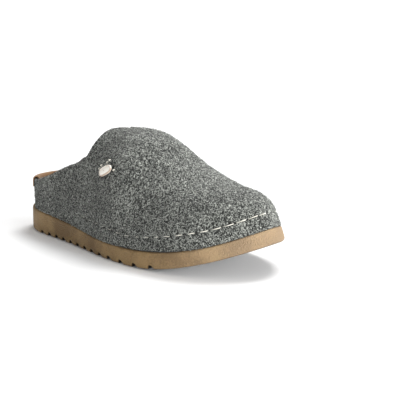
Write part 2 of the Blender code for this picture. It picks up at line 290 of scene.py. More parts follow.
def outward(turn):
    """Level unit vector out of the outline."""
    run = outline(turn + 0.004) - outline(turn - 0.004)
    return Vector((-run.y, run.x, 0)).normalized()


def sole_bottom(x):
    return TOE_SPRING * max(0.0, (x / SOLE_LENGTH - SPRING_START) / (1 - SPRING_START)) ** 2


def sole_top(x):
    return sole_bottom(x) + HEEL_THICKNESS * smooth_table(SOLE_SIDE, 1, x / SOLE_LENGTH)


def ceiling(x):
    return sole_top(x) + CLEARANCE + INSTEP_HEIGHT * smooth_table(CREST, 1, x / SOLE_LENGTH)


class Rib:
    """One rib of the felt, from the sole's edge to the crest: climb is 0 at the sole and 1 at the crest."""

    def __init__(self, turn):
        share = share_of(turn)
        self.turn, self.share = turn, share
        self.out = outward(turn)
        inset = FELT_INSET + HEEL_INSET * (1 - fade(share / HEEL_INSET_END))
        self.foot = outline(turn) - self.out * inset
        self.foot.z = sole_top(self.foot.x) + CLEARANCE
        x = min(max(share, HEEL_POLE), TOE_POLE) * SOLE_LENGTH
        self.top = Vector((x, BALL_WIDTH * smooth_table(CREST, 2, x / SOLE_LENGTH), ceiling(x)))
        self.power = 2 / smooth_table(CREST, 3, share)
        self.lean = HEEL_LEAN * (1 - fade(share / HEEL_LEAN_END))

    def point(self, climb):
        inward = 1 - max(math.cos(climb * math.pi / 2), 0.0) ** self.power
        upward = math.sin(climb * math.pi / 2) ** self.power
        point = self.foot.lerp(self.top, inward)
        point.z = self.foot.z + (ceiling(point.x) - self.foot.z) * upward
        return point + self.out * self.lean * min(1.0, upward / COLLAR[0][1])

    def climb_while(self, holds):
        """Climb up to which a test of the rib's point holds, found by halving."""
        low, high = 0.0, 1.0
        for _ in range(26):
            middle = (low + high) / 2
            if holds(self.point(middle)):
                low = middle
            else:
                high = middle
        return low

    def climb_to(self, height):
        return self.climb_while(lambda point: point.z < height)

    def collar_climb(self):
        if self.share >= THROAT:
            return 1.0
        x = self.share * SOLE_LENGTH
        rim = INSTEP_HEIGHT * smooth_table(COLLAR, 1, self.share)
        return self.climb_to(sole_top(x) + CLEARANCE + rim)

    def normal(self, climb):
        run = Rib(self.turn + 0.004).point(climb) - Rib(self.turn - 0.004).point(climb)
        rise = self.point(climb + 0.002) - self.point(max(climb - 0.002, 0.0))
        return rise.cross(run).normalized()

    def climbs(self):
        """Close rows up past the stitched line, wider ones above, and one row just under the rim."""
        top = self.collar_climb()
        steps = [self.point(climb) for climb in spread(0, top, 12)]
        length = sum((b - a).length for a, b in zip(steps, steps[1:]))
        last = top * (1 - 0.0017 / length)
        edge = min(self.climb_to(self.foot.z + 0.021), 0.72 * last)
        return spread(0, edge, EDGE_ROWS) + spread(edge, last, BODY_ROWS)[1:] + [top]


def merged(mesh, distance=1e-5):
    bmesh.ops.remove_doubles(mesh, verts=mesh.verts, dist=distance)
    bmesh.ops.dissolve_degenerate(mesh, edges=mesh.edges, dist=1e-6)


def finished(name, mesh, material, replaced=None, sharp=None):
    """The mesh as a piece that rides on the shoe and stands for its solid."""
    data = bpy.data.meshes.new(name)
    mesh.to_mesh(data)
    mesh.free()
    return piece_of(name, data, material, replaced, sharp)


def piece_of(name, data, material, replaced=None, sharp=None):
    data.name = name
    data.shade_smooth()
    if sharp:
        data.set_sharp_from_angle(angle=math.radians(sharp))
    data.materials.clear()
    data.materials.append(material)
    piece = bpy.data.objects.new(name, data)
    bpy.context.scene.collection.objects.link(piece)
    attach(piece, "root")
    if replaced:
        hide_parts(replaced)
    return piece


# Materials


def linear(code):
    """A colour picked as an sRGB hex code, as the shader wants it."""
    parts = [int(code[index : index + 2], 16) / 255 for index in (1, 3, 5)]
    return (*(p / 12.92 if p <= 0.04045 else ((p + 0.055) / 1.055) ** 2.4 for p in parts), 1.0)


def add_node(tree, kind, settings):
    """Adds a node. A setting is a property, an input's value, or an output to link to that input."""
    node = tree.nodes.new(kind)
    for key, value in settings.items():
        if key == "stops":
            for element, (place, colour) in zip(node.color_ramp.elements, value):
                element.position, element.color = place, linear(colour)
        elif isinstance(value, bpy.types.NodeSocket):
            tree.links.new(value, node.inputs[key])
        elif isinstance(key, int) or key in node.inputs:
            node.inputs[key].default_value = value
        else:
            setattr(node, key, value)
    return node


def new_material(name, constants):
    """A Principled material with its even values set, its node tree and its shader."""
    material = bpy.data.materials.new(name)
    material.use_nodes = True
    tree = material.node_tree
    shader = tree.nodes["Principled BSDF"]
    for socket, value in constants.items():
        shader.inputs[socket].default_value = value
    return material, tree, shader


def boiled_wool_felt():
    """Boiled wool: grey, black and white fleece carded together, then shrunk till the fibres lock.

    The eye sees short curly strands about a millimetre wide, light on dark, lying every way, and no gloss.
    """
    constants = {
        "Roughness": 0.95,
        "Sheen Weight": 0.2,
        "Sheen Roughness": 0.6,
        "Specular IOR Level": 0.12,
    }
    material, tree, shader = new_material("boiled_wool_felt", constants)
    place = add_node(tree, "ShaderNodeTexCoord", {}).outputs["Object"]

    # Carding pulls the fleece about by 1.3 mm at every 4 mm, so strands bend
    pull = add_node(tree, "ShaderNodeTexNoise", {"Vector": place, "Scale": 260.0, "Detail": 1.0})
    pulled = add_node(
        tree,
        "ShaderNodeVectorMath",
        {"operation": "MULTIPLY_ADD", 0: pull.outputs["Color"], 1: (0.0026, 0.0026, 0.0026), 2: place},
    ).outputs[0]

    # Single fibres are 0.03 mm, too fine to show, so locks of them are drawn 1 mm apart and 2.6 mm long,
    # in three layers that lie over each other each its own way
    light = None
    for rise, heading in ((-0.34, 0.56), (-0.72, 2.21), (-0.68, -1.31)):
        laid = add_node(
            tree,
            "ShaderNodeMapping",
            {
                "vector_type": "TEXTURE",
                "Vector": pulled,
                "Rotation": (0.0, rise, heading),
                "Scale": (2.6, 1.0, 1.0),
            },
        )
        strand = add_node(
            tree, "ShaderNodeTexNoise", {"Vector": laid.outputs[0], "Scale": 980.0, "Detail": 0.6}
        ).outputs["Fac"]
        if light is None:
            light = strand
        else:
            lighter = {"operation": "MAXIMUM", 0: light, 1: strand}
            light = add_node(tree, "ShaderNodeMath", lighter).outputs[0]

    # The blend is a little lighter or darker every 20 mm, and speckled at 0.7 mm
    cloud = add_node(tree, "ShaderNodeTexNoise", {"Vector": place, "Scale": 50.0, "Detail": 2.0})
    speck = add_node(tree, "ShaderNodeTexNoise", {"Vector": place, "Scale": 1500.0, "Detail": 1.0})
    mottled = add_node(
        tree, "ShaderNodeMath", {"operation": "MULTIPLY_ADD", 0: cloud.outputs["Fac"], 1: 0.12, 2: light}
    )
    speckled = add_node(
        tree,
        "ShaderNodeMath",
        {"operation": "MULTIPLY_ADD", 0: speck.outputs["Fac"], 1: 0.12, 2: mottled.outputs[0]},
    )
    colour = add_node(
        tree,
        "ShaderNodeValToRGB",
        {"Fac": speckled.outputs[0], "stops": [(0.685, "#1c1e1c"), (0.89, "#afb2ab")]},
    )

    # Painted shade, near black: in the needle holes, in a ring round the badge and in the gap where the
    # felt meets the sole at the outer ball
    dent_and_shade = add_node(tree, "ShaderNodeAttribute", {"attribute_name": "needle_hole"})
    painted_shaded = add_node(
        tree,
        "ShaderNodeMix",
        {"data_type": "RGBA", 0: dent_and_shade.outputs["Fac"], 6: colour.outputs["Color"], 7: linear("#121311")},
    )
    tree.links.new(painted_shaded.outputs[2], shader.inputs["Base Color"])
    bump = add_node(
        tree, "ShaderNodeBump", {"Strength": 0.9, "Distance": 0.0013, "Height": speckled.outputs[0]}
    )
    tree.links.new(bump.outputs[0], shader.inputs["Normal"])
    return material


def wool_fibre(name, code):
    """Loose wool ends standing off the felt: matt, with a little light caught in the hairs."""
    constants = {"Roughness": 0.9, "Sheen Weight": 0.2, "Specular IOR Level": 0.15}
    material, tree, shader = new_material(name, constants)
    place = add_node(tree, "ShaderNodeTexCoord", {}).outputs["Object"]
    # Fleece comes in locks about 3 mm wide, each a little lighter or darker
    lock = add_node(tree, "ShaderNodeTexNoise", {"Vector": place, "Scale": 380.0, "Detail": 2.0})
    value = add_node(
        tree,
        "ShaderNodeMapRange",
        {"Value": lock.outputs["Fac"], "From Min": 0.3, "From Max": 0.7, "To Min": 0.6, "To Max": 1.35},
    )
    shade = add_node(
        tree, "ShaderNodeHueSaturation", {"Color": linear(code), "Value": value.outputs[0]}
    )
    tree.links.new(shade.outputs[0], shader.inputs["Base Color"])
    return material


def tan_sole_rubber():
    """Moulded tan sole rubber: dull satin with a fine pebble left by the blasted mould."""
    constants = {"IOR": 1.52, "Specular IOR Level": 0.3}
    material, tree, shader = new_material("tan_sole_rubber", constants)
    place = add_node(tree, "ShaderNodeTexCoord", {}).outputs["Object"]
    # The mould's pebble is 0.4 mm across, drawn at 1 mm so that it shows
    pebble = add_node(tree, "ShaderNodeTexVoronoi", {"Vector": place, "Scale": 950.0})
    fine = add_node(tree, "ShaderNodeTexNoise", {"Vector": place, "Scale": 700.0, "Detail": 3.0})
    cloud = add_node(tree, "ShaderNodeTexNoise", {"Vector": place, "Scale": 45.0, "Detail": 3.0})
    tone = add_node(
        tree,
        "ShaderNodeMath",
        {"operation": "MULTIPLY_ADD", 0: fine.outputs["Fac"], 1: 0.5, 2: cloud.outputs["Fac"]},
    )
    colour = add_node(
        tree,
        "ShaderNodeValToRGB",
        {"Fac": tone.outputs[0], "stops": [(0.62, "#725b3c"), (0.88, "#957b55")]},
    )
    # A little paler towards the toe, a painted sheen, and painted shade, near black, inside the grooves, on
    # the underside and along its lowest edge
    axes = add_node(tree, "ShaderNodeSeparateXYZ", {"Vector": place})
    toe_sheen = add_node(
        tree,
        "ShaderNodeMapRange",
        {"Value": axes.outputs["X"], "From Min": 0.055, "From Max": 0.125, "To Min": 0.0, "To Max": 0.45},
    )
    # Painted sheen: the colour turns paler towards the toe
    worn = add_node(
        tree,
        "ShaderNodeMix",
        {"data_type": "RGBA", 0: toe_sheen.outputs[0], 6: colour.outputs["Color"], 7: linear("#9c8870")},
    )
    # Painted shade: near black wherever the groove attribute is set
    groove = add_node(tree, "ShaderNodeAttribute", {"attribute_name": "groove"})
    groove_shaded = add_node(
        tree,
        "ShaderNodeMix",
        {"data_type": "RGBA", 0: groove.outputs["Fac"], 6: worn.outputs[2], 7: linear("#1d1610")},
    )
    tree.links.new(groove_shaded.outputs[2], shader.inputs["Base Color"])
    gloss = add_node(
        tree,
        "ShaderNodeMapRange",
        {"Value": fine.outputs["Fac"], "From Min": 0.3, "From Max": 0.7, "To Min": 0.52, "To Max": 0.7},
    )
    tree.links.new(gloss.outputs[0], shader.inputs["Roughness"])
    relief = add_node(
        tree,
        "ShaderNodeMath",
        {"operation": "MULTIPLY_ADD", 0: pebble.outputs["Distance"], 1: 0.8, 2: fine.outputs["Fac"]},
    )
    bump = add_node(
        tree, "ShaderNodeBump", {"Strength": 0.8, "Distance": 0.0009, "Height": relief.outputs[0]}
    )
    tree.links.new(bump.outputs[0], shader.inputs["Normal"])
    return material


def brushed_leather(name, dark, light, nap, depth):
    """Split leather brushed to a nap: flat and matt, in patches where the nap lies another way."""
    constants = {
        "Roughness": 0.85,
        "Sheen Weight": 0.25,
        "Sheen Roughness": 0.5,
        "Specular IOR Level": 0.3,
    }
    material, tree, shader = new_material(name, constants)
    place = add_node(tree, "ShaderNodeTexCoord", {}).outputs["Object"]
    # Brushed patches are 15 mm; the nap is drawn in tufts of the given size
    patch = add_node(tree, "ShaderNodeTexNoise", {"Vector": place, "Scale": 65.0, "Detail": 3.0})
    tuft = add_node(tree, "ShaderNodeTexNoise", {"Vector": place, "Scale": 1.0 / nap, "Detail": 3.0})
    tone = add_node(
        tree,
        "ShaderNodeMath",
        {"operation": "MULTIPLY_ADD", 0: tuft.outputs["Fac"], 1: 0.7, 2: patch.outputs["Fac"]},
    )
    colour = add_node(
        tree,
        "ShaderNodeValToRGB",
        {"Fac": tone.outputs[0], "stops": [(0.50, dark), (1.0, light)]},
    )
    tree.links.new(colour.outputs["Color"], shader.inputs["Base Color"])
    bump = add_node(
        tree, "ShaderNodeBump", {"Strength": 0.5, "Distance": depth, "Height": tuft.outputs["Fac"]}
    )
    tree.links.new(bump.outputs[0], shader.inputs["Normal"])
    return material


def waxed_thread():
    """Off-white waxed linen thread, twisted from two plies: a faint shine and tiny slanting ridges."""
    constants = {"Roughness": 0.6, "Sheen Weight": 0.2, "Specular IOR Level": 0.4}
    material, tree, shader = new_material("waxed_thread", constants)
    place = add_node(tree, "ShaderNodeTexCoord", {}).outputs["Object"]
    # The twist is 0.5 mm long, and wool dust greys the thread in places
    twist = add_node(tree, "ShaderNodeTexNoise", {"Vector": place, "Scale": 2000.0, "Detail": 1.0})
    dust = add_node(tree, "ShaderNodeTexNoise", {"Vector": place, "Scale": 300.0, "Detail": 2.0})
    tone = add_node(
        tree,
        "ShaderNodeMath",
        {"operation": "MULTIPLY_ADD", 0: twist.outputs["Fac"], 1: 0.5, 2: dust.outputs["Fac"]},
    )
    colour = add_node(
        tree,
        "ShaderNodeValToRGB",
        {"Fac": tone.outputs[0], "stops": [(0.5, "#b9b5a8"), (0.95, "#efece0")]},
    )
    tree.links.new(colour.outputs["Color"], shader.inputs["Base Color"])
    bump = add_node(
        tree, "ShaderNodeBump", {"Strength": 0.5, "Distance": 0.0001, "Height": twist.outputs["Fac"]}
    )
    tree.links.new(bump.outputs[0], shader.inputs["Normal"])
    return material


def ivory_enamel():
    """Fired ivory enamel on bronze: glossy, a little uneven, the metal bare along the lip and in specks."""
    constants = {"IOR": 1.5, "Coat Weight": 0.6, "Coat Roughness": 0.15}
    material, tree, shader = new_material("ivory_enamel", constants)
    place = add_node(tree, "ShaderNodeTexCoord", {}).outputs["Object"]
    # Specks of 0.8 mm where the enamel is thin, one every 1.6 mm
    speck = add_node(tree, "ShaderNodeTexNoise", {"Vector": place, "Scale": 620.0, "Detail": 2.0})
    thin = add_node(
        tree,
        "ShaderNodeMapRange",
        {"Value": speck.outputs["Fac"], "From Min": 0.64, "From Max": 0.76},
    )
    worn = add_node(tree, "ShaderNodeAttribute", {"attribute_name": "worn"})
    bare = add_node(
        tree,
        "ShaderNodeMath",
        {
            "operation": "MULTIPLY_ADD",
            0: worn.outputs["Fac"],
            1: 0.55,
            2: thin.outputs[0],
            "use_clamp": True,
        },
    )
    colour = add_node(
        tree,
        "ShaderNodeMix",
        {"data_type": "RGBA", 0: bare.outputs[0], 6: linear("#fffaf0"), 7: linear("#9c6c3e")},
    )
    tree.links.new(colour.outputs[2], shader.inputs["Base Color"])
    gloss = add_node(
        tree,
        "ShaderNodeMapRange",
        {"Value": speck.outputs["Fac"], "From Min": 0.3, "From Max": 0.7, "To Min": 0.25, "To Max": 0.42},
    )
    tree.links.new(gloss.outputs[0], shader.inputs["Roughness"])
    bump = add_node(
        tree, "ShaderNodeBump", {"Strength": 0.3, "Distance": 0.0001, "Height": speck.outputs["Fac"]}
    )
    tree.links.new(bump.outputs[0], shader.inputs["Normal"])
    return material


def white_card():
    """Matt white paper board under the shoe, with the faint tooth of uncoated paper, drawn at 1 mm."""
    material, tree, shader = new_material("white_card", {"Roughness": 0.95, "Specular IOR Level": 0.1})
    place = add_node(tree, "ShaderNodeTexCoord", {}).outputs["Object"]
    tooth = add_node(tree, "ShaderNodeTexNoise", {"Vector": place, "Scale": 900.0, "Detail": 2.0})
    colour = add_node(
        tree,
        "ShaderNodeValToRGB",
        {"Fac": tooth.outputs["Fac"], "stops": [(0.2, "#f1f1f1"), (0.8, "#f5f5f5")]},
    )
    tree.links.new(colour.outputs["Color"], shader.inputs["Base Color"])
    return material


# Stitched line


def stitch_height(x):
    return smooth_table(STITCH_LINE, 1, x / SOLE_LENGTH)


def stitch_path():
    """Points of the stitched line, from the outer side round the toe to the inner one, with lengths."""
    start = turn_of(STITCH_START)
    points, lengths = [], [0.0]
    for turn in spread(-start, -(2 * math.pi - start), 700):
        rib = Rib(turn)
        climb = rib.climb_while(lambda point: point.z - sole_top(point.x) < stitch_height(point.x))
        points.append((rib, climb, rib.point(climb)))
        if len(points) > 1:
            lengths.append(lengths[-1] + (points[-1][2] - points[-2][2]).length)
    return points, lengths


def stitches():
    """For each stitch its points with their outward normals, and how proud the thread stands there."""
    points, lengths = stitch_path()
    made = []
    count = int((lengths[-1] - STITCH_LENGTH - STITCH_OFFSET) / STITCH_PITCH)
    for index in range(count + 1):
        row = []
        for step in spread(0, STITCH_LENGTH, 10):
            along = STITCH_OFFSET + index * STITCH_PITCH + step
            near = min(range(len(lengths) - 1), key=lambda place: abs(lengths[place] - along))
            rib, climb, _ = points[near]
            after = points[min(near + 1, len(points) - 1)][2]
            before = points[max(near - 1, 0)][2]
            slide = (after - before).normalized() * (along - lengths[near])
            point = rib.point(climb) + slide
            row.append((point, rib.normal(climb), point.x / SOLE_LENGTH))
        made.append(row)
    return made


def thread_curve(name, radius):
    """An empty round thread, to which each stitch or thread end is added as its own length."""
    curve = bpy.data.curves.new(name, "CURVE")
    curve.dimensions = "3D"
    curve.bevel_depth = radius
    curve.bevel_resolution = 2
    curve.use_fill_caps = True
    return curve


def thread_piece(curve, material):
    """The thread's lengths as one finished piece of mesh."""
    holder = bpy.data.objects.new(curve.name + "_path", curve)
    data = bpy.data.meshes.new_from_object(holder)
    bpy.data.objects.remove(holder)
    return piece_of(curve.name, data, material)


def make_thread(rows, material):
    """Each stitch is its own short length of thread: it rises thin out of the felt and dives back steeply.

    Just past the tip of the toe the thread is pulled right into the felt.
    """
    curve = thread_curve("edge_stitches", THREAD_RADIUS)
    for row in rows:
        spline = curve.splines.new("POLY")
        spline.points.add(len(row) - 1)
        for index, (point, normal, share) in enumerate(row):
            along = index / (len(row) - 1)
            bow = fade(along / 0.60) * (1 - fade((along - 0.84) / 0.16) ** 2)
            proud = smooth_table(STITCH_LINE, 2, share)
            tucked = TIP_TUCK * fade((share - 0.93) / 0.03) * fade((normal.y + 0.22) / 0.1)
            rise = bow * (THREAD_DIVE + THREAD_PROUD * proud)
            lift = rise - THREAD_DIVE - stitch_pull(share) - tucked
            spline.points[index].co = (*(point - MIDDLE + normal * lift), 1.0)
            spline.points[index].radius = (0.55 + 0.45 * bow) * (0.75 + 0.25 * proud)
    return thread_piece(curve, material)


# Felt shell


def crease_depth(place):
    """Depth of the given creases at a place on the felt."""
    depth = 0.0
    for strength, width, points in CREASES:
        nearest, at = 1.0, 0.5
        for index, (start, end) in enumerate(zip(points, points[1:])):
            start, end = Vector(start), Vector(end)
            run = end - start
            t = min(max((place - start).dot(run) / run.length_squared, 0.0), 1.0)
            distance = (place - start - run * t).length
            if distance < nearest:
                nearest, at = distance, (index + t) / (len(points) - 1)
        ends = math.sin(math.pi * (0.08 + 0.84 * at))
        depth += strength * ends * bell(nearest, 0, width)
    return depth


def stitch_pull(share):
    """How deep the stitches draw the felt in."""
    return 0.0004 + 0.0002 * smooth_table(STITCH_LINE, 2, share)


def seam_clear(place):
    """0 on the stitches that stand proud, where no loose wool may hide them, and 1 away from them."""
    x = place.x + MIDDLE.x
    off = place.z - sole_top(x) - stitch_height(x)
    proud = smooth_table(STITCH_LINE, 2, x / SOLE_LENGTH)
    return 1 - fade(proud * 1.6) * (1 - fade(abs(off) / SEAM_WIDTH))


def foot_shade(place):
    """1 where the felt meets the sole along the outer ball, 0 a little above: painted shade for the thin
    dark gap there.
    """
    share = (place.x + MIDDLE.x) / SOLE_LENGTH
    over = place.z - sole_top(place.x + MIDDLE.x) - CLEARANCE
    along = fade((share - 0.52) / 0.08) * (1 - fade((share - 0.80) / 0.08))
    return along * (1 - fade(over / 0.0018)) if place.y < 0 else 0.0


def felt_relief(place, badge):
    """How far the felt's face stands out of its even form at a place, in the shoe's frame.

    In turn: the sewn line and the swell over it, lumps of the wool, the foot's hem, the badge's seat, and
    the hollow round the tip of the toe.
    """
    x = place.x + MIDDLE.x
    over = place.z - sole_top(x)
    off = over - stitch_height(x)
    groove = -stitch_pull(x / SOLE_LENGTH) * bell(off, 0, SEAM_WIDTH)
    toe = fade((x / SOLE_LENGTH - 0.84) / 0.10)
    pillow = (0.0004 - 0.0014 * toe) * bell(off, 0.0055, 0.0060)
    sewn = fade((x / SOLE_LENGTH - 0.30) / 0.10) * (groove + pillow)
    lumps = 0.00035 * noise.noise(place * 110) + 0.00025 * noise.noise(place * 310)
    lumps += 0.00015 * noise.noise(place * 700)
    hem = 0.0006 * (1 - fade(over / 0.0045))
    seat = -0.0010 * (1 - fade((badge_reach(badge, place) - 1.05) / 0.35))
    tip = fade((x / SOLE_LENGTH - 0.90) / 0.09)
    hollow = -0.0018 * tip * bell(over, 0.0105, 0.0075)
    return sewn + crease_depth(place) + lumps * fade(over / 0.002) + hem + seat + hollow


def needle_holes(rows):
    """Middle and run of each needle hole, between two stitches, kept by short cells along the shoe."""
    cells = {}
    for row, after in zip(rows, rows[1:]):
        end, start = row[-1][0], after[0][0]
        middle = (end + start) / 2 - MIDDLE
        cells.setdefault(round(middle.x / HOLE_CELL), []).append((middle, (start - end).normalized()))
    return cells


def hole_depth(cells, place):
    depth = 0.0
    for cell in (-1, 0, 1):
        for middle, run in cells.get(round(place.x / HOLE_CELL) + cell, []):
            offset = place - middle
            length = offset.dot(run)
            aside = (offset - run * length).length
            depth = max(depth, bell(length, 0, HOLE_LENGTH) * bell(aside, 0, HOLE_WIDTH))
    return depth


def make_felt_shell(rows, material):
    """A sheet laid over the last, doubled to its wall, closed along the foot and the rim, and rounded."""
    mesh = bmesh.new()
    height = EDGE_ROWS + BODY_ROWS + 1
    bmesh.ops.create_grid(mesh, x_segments=FELT_TURNS, y_segments=height, size=0.5)
    dent_and_shade = mesh.verts.layers.float.new("needle_hole")
    outside = mesh.verts.layers.float.new("outside")
    ribs = [Rib(turn) for turn in spread(-math.pi, math.pi, FELT_TURNS)]
    climbs = [rib.climbs() for rib in ribs]
    for vert in mesh.verts:
        column, row = round((vert.co.x + 0.5) * FELT_TURNS), round((vert.co.y + 0.5) * height)
        vert.co = ribs[column].point(climbs[column][row]) - MIDDLE
    merged(mesh)
    bmesh.ops.recalc_face_normals(mesh, faces=mesh.faces)
    if max(mesh.verts, key=lambda vert: vert.co.z).normal.z < 0:
        bmesh.ops.reverse_faces(mesh, faces=mesh.faces)
    mesh.normal_update()

    # The inner wall is the same sheet, moved in by the felt's thickness
    outer = list(mesh.verts)
    made = bmesh.ops.duplicate(mesh, geom=mesh.verts[:] + mesh.edges[:] + mesh.faces[:])
    inner_faces = [item for item in made["geom"] if isinstance(item, bmesh.types.BMFace)]
    feet = set()
    for vert in outer:
        twin = made["vert_map"][vert]
        twin.co = vert.co - vert.normal * FELT_WALL
        if vert.co.z - sole_top(vert.co.x + MIDDLE.x) < CLEARANCE + 2e-5:
            feet |= {vert, twin}
            twin.co.z = sole_top(twin.co.x + MIDDLE.x) + CLEARANCE
    cells = needle_holes(rows)
    badge = badge_frame()
    throat = Rib(turn_of(THROAT)).point(1.0) - MIDDLE
    for vert in outer:
        reach = badge_reach(badge, vert.co)
        combed = 0.3 + 0.7 * fade(((vert.co - throat).length - 0.003) / 0.003)
        # Painted shadow in a ring round the badge, and painted shade in the needle holes and at the felt's
        # foot along the outer ball; the same value also dents the felt
        shadow_ring = 0.9 * bell(reach, 1.14, 0.18)
        vert[dent_and_shade] = max(hole_depth(cells, vert.co), shadow_ring, foot_shade(vert.co))
        bare = seam_clear(vert.co) * (1 - foot_shade(vert.co))
        vert[outside] = fade((reach - 1.3) / 0.4) * bare * combed
        vert.co += vert.normal * (felt_relief(vert.co, badge) - HOLE_DEPTH * vert[dent_and_shade])
        if vert in feet:
            vert.co.z = sole_top(vert.co.x + MIDDLE.x) + CLEARANCE
    bmesh.ops.reverse_faces(mesh, faces=inner_faces)
    borders = [edge for edge in mesh.edges if edge.is_boundary]
    foot = [edge for edge in borders if all(vert in feet for vert in edge.verts)]
    rim = [edge for edge in borders if not all(vert in feet for vert in edge.verts)]
    bmesh.ops.bridge_loops(mesh, edges=foot)
    bmesh.ops.bridge_loops(mesh, edges=rim)

    # The cut rim is soft: its two corners are rounded
    bmesh.ops.bevel(
        mesh,
        geom=[edge for edge in rim if edge.is_valid],
        offset=RIM_ROUNDING,
        segments=4,
        profile=0.5,
        affect="EDGES",
        material=-1,
    )
    return finished("felt_shell", mesh, material, "upper")


def make_fibre(length, thickness):
    """One loose wool end, a closed three-sided spindle that lifts off the felt and curls back."""
    mesh = bmesh.new()
    bmesh.ops.create_grid(mesh, x_segments=3, y_segments=3, size=0.5)
    for vert in mesh.verts:
        along, around = vert.co.x + 0.5, (vert.co.y + 0.5) * 2 * math.pi
        girth = thickness / 2 * math.sin(math.pi * along) if 0.01 < along < 0.99 else 0.0
        lift = 0.26 * length * math.sin(math.pi * along) ** 0.8 - 0.02 * length
        sway = 0.16 * length * math.sin(2.4 * math.pi * along)
        vert.co = Vector(
            (length * (along - 0.5), sway + girth * math.cos(around), lift + girth * math.sin(around))
        )
    merged(mesh, 1e-7)
    bmesh.ops.recalc_face_normals(mesh, faces=mesh.faces)
    data = bpy.data.meshes.new("fibre")
    mesh.to_mesh(data)
    mesh.free()
    data.shade_smooth()
    return bpy.data.objects.new("fibre", data)


def make_nap(name, shell, material, density, length, thickness, seed):
    """Loose wool ends scattered over the outside of the felt, each turned its own way."""
    fibre = make_fibre(length, thickness)
    bpy.context.scene.collection.objects.link(fibre)
    tree = bpy.data.node_groups.new(name, "GeometryNodeTree")
    tree.interface.new_socket("Geometry", in_out="INPUT", socket_type="NodeSocketGeometry")
    tree.interface.new_socket("Geometry", in_out="OUTPUT", socket_type="NodeSocketGeometry")
    start = add_node(tree, "NodeGroupInput", {})
    side = add_node(tree, "GeometryNodeInputNamedAttribute", {"data_type": "FLOAT", "Name": "outside"})
    face_out = add_node(
        tree, "FunctionNodeCompare", {"operation": "GREATER_THAN", 0: side.outputs[0], 1: 0.5}
    )
    points = add_node(
        tree,
        "GeometryNodeDistributePointsOnFaces",
        {"Mesh": start.outputs[0], "Selection": face_out.outputs[0], "Density": density, "Seed": seed},
    )
    spin = add_node(tree, "FunctionNodeRandomValue", {2: 0.0, 3: 2 * math.pi, "Seed": seed})
    turned = add_node(
        tree, "FunctionNodeAxisAngleToRotation", {"Axis": (0, 0, 1), "Angle": spin.outputs[1]}
    )
    laid = add_node(
        tree,
        "FunctionNodeRotateRotation",
        {"rotation_space": "LOCAL", 0: points.outputs["Rotation"], 1: turned.outputs[0]},
    )
    size = add_node(
        tree,
        "FunctionNodeRandomValue",
        {"data_type": "FLOAT_VECTOR", 0: (0.5, 0.6, 0.35), 1: (1.25, 1.3, 1.3), "Seed": seed + 1},
    )
    hair = add_node(tree, "GeometryNodeObjectInfo", {"Object": fibre})
    copies = add_node(
        tree,
        "GeometryNodeInstanceOnPoints",
        {
            "Points": points.outputs[0],
            "Instance": hair.outputs["Geometry"],
            "Rotation": laid.outputs[0],
            "Scale": size.outputs[0],
        },
    )
    solid = add_node(tree, "GeometryNodeRealizeInstances", {"Geometry": copies.outputs[0]})
    add_node(tree, "NodeGroupOutput", {0: solid.outputs[0]})
    holder = bpy.data.objects.new(name + "_holder", shell.data)
    bpy.context.scene.collection.objects.link(holder)
    holder.modifiers.new("scatter", "NODES").node_group = tree
    graph = bpy.context.evaluated_depsgraph_get()
    data = bpy.data.meshes.new_from_object(holder.evaluated_get(graph))
    for helper in (holder, fibre):
        bpy.data.objects.remove(helper)
    return piece_of(name, data, material)


# Sole


def groove_lift(share_x, centres):
    """How far a groove cuts up into the tread at a place along the shoe, in metres."""
    for centre in centres:
        across = (share_x - centre + GROOVE_MOUTH / 2) / GROOVE_MOUTH
        if GROOVE_SHAPE[0][0] < across < GROOVE_SHAPE[-1][0]:
            return GROOVE_DEPTH * smooth_table(GROOVE_SHAPE, 1, across)
    return 0.0


def groove_centres():
    centres = [FIRST_GROOVE * SOLE_LENGTH]
    for count, pitch in TREAD_STEPS:
        for _ in range(count):
            centres.append(centres[-1] + pitch * SOLE_LENGTH)
    return centres


def sole_stations(centres):
    """Turns of one side from heel to toe: even ones, and each groove's own corners."""
    corners = []
    for centre in centres:
        rear = centre - GROOVE_MOUTH / 2
        corners += [turn_of((rear + across * GROOVE_MOUTH) / SOLE_LENGTH) for across, _ in GROOVE_SHAPE]
    spacing = math.pi / SOLE_TURNS
    even = spread(0, math.pi, SOLE_TURNS)
    plain = [turn for turn in even if all(abs(turn - corner) > 0.55 * spacing for corner in corners)]
    return sorted(plain + corners)


def sole_section(turn, centres):
    """Points up the sole's side at a turn: rounded bottom edge, wall, rounded top edge."""
    edge, normal = outline(turn), outward(turn)
    flare = TOE_FLARE * fade((share_of(turn) - FLARE_START) / (1 - FLARE_START))
    section = []
    for angle in spread(0, math.pi / 2, 5):
        point = edge + normal * (flare - BOTTOM_ROUNDING * (1 - math.sin(angle)))
        cut = groove_lift(point.x, centres)
        rounding = BOTTOM_ROUNDING * (1 - math.cos(angle)) * (1 - 0.6 * min(1.0, cut / GROOVE_DEPTH))
        point.z = sole_bottom(point.x) + cut + rounding
        section.append(point)
    base = section[-1].z
    for rise in (0.25, 0.5, 0.8):
        point = edge + normal * flare * (1 - rise)
        top = sole_top(point.x) - TOP_ROUNDING
        point.z = base + (top - base) * rise
        section.append(point)
    for angle in spread(0, math.pi / 2, 4):
        point = edge - normal * TOP_ROUNDING * (1 - math.cos(angle))
        point.z = sole_top(point.x) - TOP_ROUNDING * (1 - math.sin(angle))
        section.append(point)
    return section


